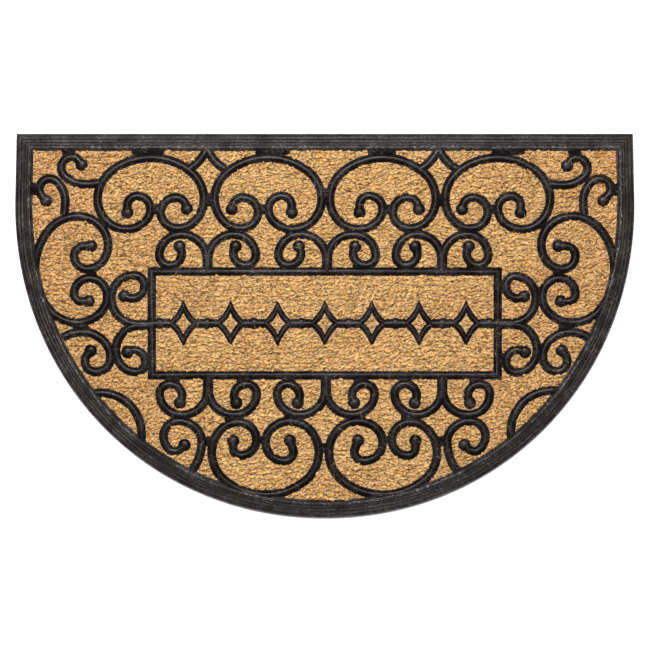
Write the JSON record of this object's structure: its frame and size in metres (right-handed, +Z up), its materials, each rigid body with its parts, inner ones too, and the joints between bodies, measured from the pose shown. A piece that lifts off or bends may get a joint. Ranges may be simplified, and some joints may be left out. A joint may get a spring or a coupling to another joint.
{
  "type": "coir doormat",
  "caption": "Half-round doormat with a black rubber moulding, ribbed border and raised scroll bars, over a flat sheet of coir cloth.",
  "frame": {"origin": "centre of the underside's bounding rectangle, on the floor", "axes": "+X along the straight edge, +Y towards the straight edge, +Z up from the floor"},
  "size_m": [0.75, 0.4646, 0.0112],
  "materials": {
    "rubber": "satin black with paler worn ridges",
    "coir": "coarse golden brown coconut-fibre yarn"
  },
  "bodies": {
    "root": {"rubber_moulding": "rubber", "coir_cloth": "coir"}
  },
  "joints": []
}
